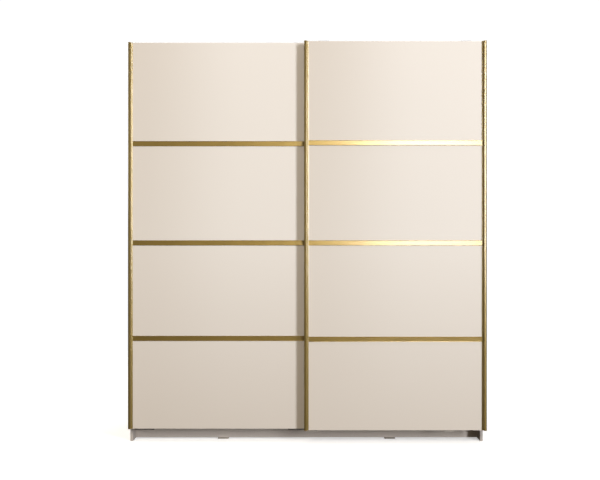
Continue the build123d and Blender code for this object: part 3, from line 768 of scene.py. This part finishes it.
def grip_edge(node):
    """A grip's outer face, the direction into the door and the door's face."""
    low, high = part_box(node)
    inward = 1 if ("left_door_outer" in node or "right_door_inner" in node) else -1
    edge_x = low.x if inward > 0 else high.x
    face_y = low.y + GRIP_DEPTH
    return edge_x, inward, face_y


def grip(node):
    """A grip's profile over its whole length."""
    low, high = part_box(node)
    bm = bmesh.new()
    prism(bm, grip_outline(*grip_edge(node)), Z, low.z, high.z)
    return finished(node + "_profile", bm, [slot_of[node]], [node])


def grip_caps(door):
    """End caps of both grips, top and bottom."""
    node = door + "_grip_caps"
    low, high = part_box(node)
    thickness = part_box(door + "_outer_grip")[0].z - low.z
    bm = bmesh.new()
    for edge in ("_outer_grip", "_inner_grip"):
        outline = grip_outline(*grip_edge(door + edge))
        prism(bm, outline, Z, low.z, low.z + thickness)
        prism(bm, outline, Z, high.z - thickness, high.z)
    return finished(node + "_moulded", bm, [slot_of[node]], [node])


def divider_bars(door):
    """Three H-section bars with a ridge along both long edges."""
    node = door + "_divider_bars"
    grip_low, grip_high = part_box(door + "_outer_grip")
    cut = grip_high.x - grip_low.x - GRIP_WALL
    half, back_half, web = BAR_HEIGHT / 2, BAR_BACK_HEIGHT / 2, BAR_WEB / 2
    bm = bmesh.new()
    for points in solids(node):
        low, high = span(points)
        middle = (low.z + high.z) / 2
        recess = low.y + BAR_RIDGE
        face = recess + GRIP_WALL
        upper = [
            (recess, half - BAR_RIDGE_HEIGHT),
            (low.y, half - BAR_RIDGE_HEIGHT),
            (low.y, half - BAR_RIDGE),
            (recess, half),
            (face, half),
            (face, web),
            (high.y - GRIP_WALL, web),
            (high.y - GRIP_WALL, back_half),
            (high.y, back_half),
        ]
        whole = upper + [(depth, -height) for depth, height in reversed(upper)]
        shape = [(depth, middle + height) for depth, height in whole]
        outline = eased_outline(shape, BAR_EASE, PROFILE_FADE)
        prism(bm, outline, X, low.x + cut, high.x - cut)
    return finished(node + "_profile", bm, [slot_of[node]], [node])


def mirrored(profile):
    """A profile of (along, radius) followed by its mirror image about 0."""
    return profile + [(-along, radius) for along, radius in reversed(profile)]


def roller(node):
    """A grooved nylon tyre on a shielded ball bearing."""
    low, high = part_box(node)
    middle = (low + high) / 2
    radius = (high.z - low.z) / 2
    side = (low.y - high.y) / 2
    race = radius * 0.62
    hub = radius * 0.3
    rim = radius - 0.2 * MM
    shield = side + 0.9 * MM
    tyre = [
        (side + 0.6 * MM, race),
        (side, race + 0.6 * MM),
        (side, radius - 1.0 * MM),
        (side + 0.4 * MM, rim),
        (side + 0.8 * MM, radius),
        (-ROLLER_GROOVE_TOP, radius),
        (-ROLLER_GROOVE_TOP + 0.3 * MM, rim),
        (-ROLLER_GROOVE_FLOOR - 0.4 * MM, radius - ROLLER_GROOVE_DEPTH + 0.2 * MM),
        (-ROLLER_GROOVE_FLOOR, radius - ROLLER_GROOVE_DEPTH),
    ]
    bearing = [
        (side + 0.6 * MM, race),
        (side + 0.3 * MM, race - 0.3 * MM),
        (side + 0.3 * MM, race - 2 * MM),
        (shield, race - 2.2 * MM),
        (shield, hub + 1.6 * MM),
        (side + 0.3 * MM, hub + 1.4 * MM),
        (side + 0.2 * MM, AXLE_RADIUS + 0.3 * MM),
        (side + 0.5 * MM, AXLE_RADIUS + 0.05 * MM),
    ]
    bm = bmesh.new()
    lathe(bm, middle, (0, 1, 0), mirrored(tyre), FINE_TURNS)
    lathe(bm, middle, (0, 1, 0), mirrored(bearing), FINE_TURNS, 1)
    bmesh.ops.remove_doubles(bm, verts=bm.verts, dist=SAME_PLACE)
    return finished(node + "_wheel", bm, [slot_of[node], "bearing_steel"], [node], 40.0)


def axles(node):
    """Riveted axles: a dished end in front, a collar, and a chamfered head behind."""
    bm = bmesh.new()
    for points in solids(node):
        low, high = span(points)
        start = Vector(((low.x + high.x) / 2, low.y, (low.z + high.z) / 2))
        reach = high.z - start.z
        wide = [p.y for p in points if p.z - start.z > reach - 0.1 * MM]
        steps = sorted(set(round(y - low.y, 5) for y in wide))
        collar_start, collar_end, head_start = steps[0], steps[1], steps[-2]
        length = high.y - low.y
        bevel = 0.2 * MM
        profile = [
            (0.5 * MM, 0),
            (0.5 * MM, AXLE_RADIUS * 0.5),
            (0, AXLE_RADIUS * 0.7),
            (0.1 * MM, AXLE_RADIUS),
            (collar_start, AXLE_RADIUS),
            (collar_start, reach - bevel),
            (collar_start + bevel, reach),
            (collar_end - bevel, reach),
            (collar_end, reach - bevel),
            (collar_end, AXLE_RADIUS),
            (head_start, AXLE_RADIUS),
            (head_start, reach - bevel / 2),
            (head_start + bevel / 2, reach),
            (length - 0.35 * MM, reach),
            (length, reach - 0.5 * MM),
            (length, 0),
        ]
        lathe(bm, start, (0, 1, 0), profile, AXLE_TURNS)
    return finished(node + "_turned", bm, [slot_of[node]], [node])


# ------------------------------------------------------------------ carcase metalwork
def hanging_rail(node):
    """A tube of flat-sided oval section."""
    low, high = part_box(node)
    middle = (low + high) / 2
    half = (high.y - low.y) / 2
    rise = (high.z - low.z) / 2 - half

    def oval(inset):
        radii = (half - inset, half - inset)
        top = arc((middle.y, middle.z + rise), radii, 0, 180, OVAL_STEPS)
        foot = arc((middle.y, middle.z - rise), radii, 180, 360, OVAL_STEPS)
        return [(y, z, 0.0) for y, z in top + foot]

    bm = bmesh.new()
    prism(bm, oval(0.0), X, low.x, high.x, oval(RAIL_WALL))
    return finished(node + "_tube", bm, [slot_of[node]], [node])


def extrusion(node, shape):
    """A metal profile along X over the whole length of its node."""
    low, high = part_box(node)
    bm = bmesh.new()
    prism(bm, eased_outline(shape, PROFILE_EASE, PROFILE_FADE), X, low.x, high.x)
    return finished(node + "_profile", bm, [slot_of[node]], [node])


def top_track():
    """A tray with lips and a round-topped rib under each door's rollers. The left door's is in front."""
    low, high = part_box("top_track")
    floor = low.z + TRACK_BASE
    lip_top = low.z + TRACK_LIP
    half = LANE_RIB / 2
    front_lip = low.y + TRACK_LIP_THICKNESS
    rear_lip = high.y - TRACK_LIP_THICKNESS
    shape = [(low.y, low.z), (low.y, lip_top), (front_lip, lip_top), (front_lip, floor)]
    for door in ("left_door", "right_door"):
        roller_low, roller_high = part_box(door + "_outer_roller")
        lane = (roller_low.y + roller_high.y) / 2
        ridge = arc((lane, high.z - half), (half, half), 180, 0)
        shape += [(lane - half, floor), *ridge, (lane + half, floor)]
    shape += [(rear_lip, floor), (rear_lip, lip_top), (high.y, lip_top), (high.y, low.z)]
    return extrusion("top_track", shape)


def lower_guide_rail():
    """A plate with two ribs under it for each door's guides."""
    low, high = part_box("lower_guide_rail")
    plate_low = high.z - GUIDE_RAIL_PLATE
    width = GUIDE_GROOVE + 2 * GUIDE_RAIL_RIB
    ribs = []
    for channel in (low.y, high.y - width):
        for rib in (channel, channel + width - GUIDE_RAIL_RIB):
            ribs += [(rib, plate_low), (rib, low.z)]
            ribs += [(rib + GUIDE_RAIL_RIB, low.z), (rib + GUIDE_RAIL_RIB, plate_low)]
    return extrusion("lower_guide_rail", [(low.y, high.z), *ribs[1:-1], (high.y, high.z)])


def measure(piece, door):
    """Stores how far across and up its door each point of a panel is, from 0 to 1; the door foil paints shade
    by them.
    """
    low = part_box(door + "_bottom_panel")[0]
    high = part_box(door + "_top_panel")[1]
    for name, axis in (("across", X), ("up", Z)):
        values = [(vert.co[axis] - low[axis]) / (high[axis] - low[axis]) for vert in piece.data.vertices]
        piece.data.attributes.new(name, "FLOAT", "POINT").data.foreach_set("value", values)


# ------------------------------------------------------------------ the wardrobe
def build_doors():
    """Both doors, each with its panels, bars, grips and running gear."""
    for door in ("left_door", "right_door"):
        for level in ("top", "upper", "lower", "bottom"):
            piece = board(f"{door}_{level}_panel", ["door_panel", "edge_band"], (X, Z))
            measure(piece, door)
        divider_bars(door)
        grip(door + "_outer_grip")
        grip(door + "_inner_grip")
        grip_caps(door)
        axles(door + "_axles")
        screws(door + "_screws")
        softened(door + "_guides")
        for edge in ("outer", "inner"):
            softened(f"{door}_{edge}_hanger")
            roller(f"{door}_{edge}_roller")


def build_carcase():
    """The carcase's boards, rails, tracks and fasteners."""
    upright = (Y, Z)
    level = (X, Y)
    facing = (X, Z)
    boards = {
        "left_side_panel": upright,
        "right_side_panel": upright,
        "centre_partition": upright,
        "top_panel": level,
        "bottom_panel": level,
        "left_hat_shelf": level,
        "right_hat_shelf": level,
        "right_middle_shelf": level,
        "right_lower_shelf": level,
        "front_plinth": facing,
        "rear_plinth": facing,
        "plinth_support": upright,
    }
    for node, band in boards.items():
        board(node, [slot_of[node]] * 2, band)
    for node in ("left_back_sheet", "right_back_sheet"):
        board(node, [slot_of[node]] * 2, facing, (0, PROUD, 0))
    for node in ("left_hanging_rail", "right_hanging_rail"):
        hanging_rail(node)
    top_track()
    lower_guide_rail()
    cams("cam_locks")
    nails("back_sheet_nails")
    pins("shelf_pins")
    screws("fitting_screws")
    small_parts = (
        "rail_sockets",
        "wall_brackets",
        "plinth_glides",
        "track_end_stops",
        "stop_buffers",
        "cam_bolts",
        "dowels",
    )
    for node in small_parts:
        softened(node)


# ------------------------------------------------------------------ studio
def studio_floor():
    """A pale floor that glows a little, fades out at its rim and sends no light to the wardrobe."""
    bm = bmesh.new()
    lathe(bm, (0, 0, 0), (0, 0, 1), [(0, radius) for radius in FLOOR_RINGS], FLOOR_TURNS)
    mesh = bpy.data.meshes.new("floor")
    bm.to_mesh(mesh)
    bm.free()
    glow = {"Emission_Color": (1.0, 1.0, 1.0, 1.0), "Emission_Strength": FLOOR_GLOW}
    finish = Finish("floor", (0.93, 0.93, 0.92), 0.75, Specular_IOR_Level=0.1, **glow)
    finish.mottle(finish.noise(5.0, 4.0), 0.3, 0.7, 0.2, (0.90, 0.90, 0.89))
    gradient = finish.add("ShaderNodeTexGradient", gradient_type="SPHERICAL")
    mapping = finish.add("ShaderNodeMapping")
    mapping.inputs["Scale"].default_value = [FLOOR_FADE] * 3
    finish.feed(mapping.inputs["Vector"], finish.place)
    finish.feed(gradient.inputs["Vector"], mapping.outputs["Vector"])
    alpha = finish.spread(gradient.outputs["Fac"], 0.02, 0.45, smooth=True)
    finish.feed(finish.shader.inputs["Alpha"], alpha)
    mesh.materials.append(finish.done())
    floor = bpy.data.objects.new("floor", mesh)
    floor.visible_diffuse = False
    floor.visible_glossy = False
    bpy.context.scene.collection.objects.link(floor)


def softbox(name, azimuth, elevation, distance, size, radiance, tone=(1, 1, 1), glossy=True, only=None):
    """A rectangular light facing the wardrobe. Azimuth 0 is in front, 90 on its right."""
    middle = Vector((0, 0, (cad_box[0].z + cad_box[1].z) / 2))
    a, e = math.radians(azimuth), math.radians(elevation)
    way = Vector((math.sin(a) * math.cos(e), -math.cos(a) * math.cos(e), math.sin(e)))
    light = bpy.data.lights.new(name, "AREA")
    light.shape = "RECTANGLE"
    light.size, light.size_y = size
    light.energy = radiance * size[0] * size[1] * math.pi
    light.color = tone
    holder = bpy.data.objects.new(name, light)
    holder.location = middle + way * distance
    holder.rotation_euler = (-way).to_track_quat("-Z", "Y").to_euler()
    holder.visible_glossy = glossy
    holder.visible_camera = False
    bpy.context.scene.collection.objects.link(holder)
    if only is not None:
        holder.light_linking.receiver_collection = only


def lights():
    """A cool key that the gold reflects, a sheen for the gold alone, warm fills, and two lights behind."""
    # name, azimuth, elevation, distance, size, radiance
    softbox("key", 41, 12.5, 16.0, (2.6, 9.5), 27.4, tone=COOL)
    softbox("window", 14, 8, 7.0, (1.6, 2.7), 12.5, only=gold_pieces)
    softbox("fill", -22, 36, 13.0, (3.0, 4.0), 19.4, tone=WARM, glossy=False)
    softbox("side", -66, 10, 9.0, (1.2, 3.0), 1.5, tone=WARM, glossy=False)
    softbox("overhead", 0, 84, 6.0, (4.0, 4.0), 2.0)
    softbox("left_rear", -120, 16, 9.0, (3.0, 4.0), 6.0)
    softbox("right_rear", 155, 18, 9.0, (4.0, 4.0), 4.0)


def studio_world():
    """White behind the object, and a dimmer warm light on it that is weaker from below."""
    world = bpy.data.worlds.new("studio")
    bpy.context.scene.world = world
    world.use_nodes = True
    tree = world.node_tree
    backdrop = tree.nodes["Background"]
    backdrop.inputs["Color"].default_value = (1, 1, 1, 1)
    backdrop.inputs["Strength"].default_value = BACKDROP
    glow = tree.nodes.new("ShaderNodeBackground")
    glow.inputs["Color"].default_value = (*WARM, 1)
    place = tree.nodes.new("ShaderNodeTexCoord")
    parts = tree.nodes.new("ShaderNodeSeparateXYZ")
    rise = tree.nodes.new("ShaderNodeMapRange")
    tree.links.new(place.outputs["Generated"], parts.inputs[0])
    tree.links.new(parts.outputs["Z"], rise.inputs["Value"])
    rise.inputs["From Min"].default_value = -0.25
    rise.inputs["From Max"].default_value = 0.1
    rise.inputs["To Min"].default_value = AMBIENT_BELOW * AMBIENT
    rise.inputs["To Max"].default_value = AMBIENT
    tree.links.new(rise.outputs["Result"], glow.inputs["Strength"])
    rays = tree.nodes.new("ShaderNodeLightPath")
    mix = tree.nodes.new("ShaderNodeMixShader")
    tree.links.new(rays.outputs["Is Camera Ray"], mix.inputs[0])
    tree.links.new(glow.outputs[0], mix.inputs[1])
    tree.links.new(backdrop.outputs[0], mix.inputs[2])
    tree.links.new(mix.outputs[0], tree.nodes["World Output"].inputs["Surface"])


def camera():
    """Straight on, level, and a little left of the wardrobe's middle."""
    data = bpy.data.cameras.new("camera")
    data.lens = CAMERA_LENS
    data.sensor_width = CAMERA_SENSOR
    holder = bpy.data.objects.new("camera", data)
    holder.location = CAMERA_PLACE
    holder.rotation_euler = (math.radians(90), 0, 0)
    bpy.context.scene.collection.objects.link(holder)
    bpy.context.scene.camera = holder


build_doors()
build_carcase()
studio_floor()
studio_world()
lights()
camera()
bpy.context.scene.view_settings.view_transform = "Standard"
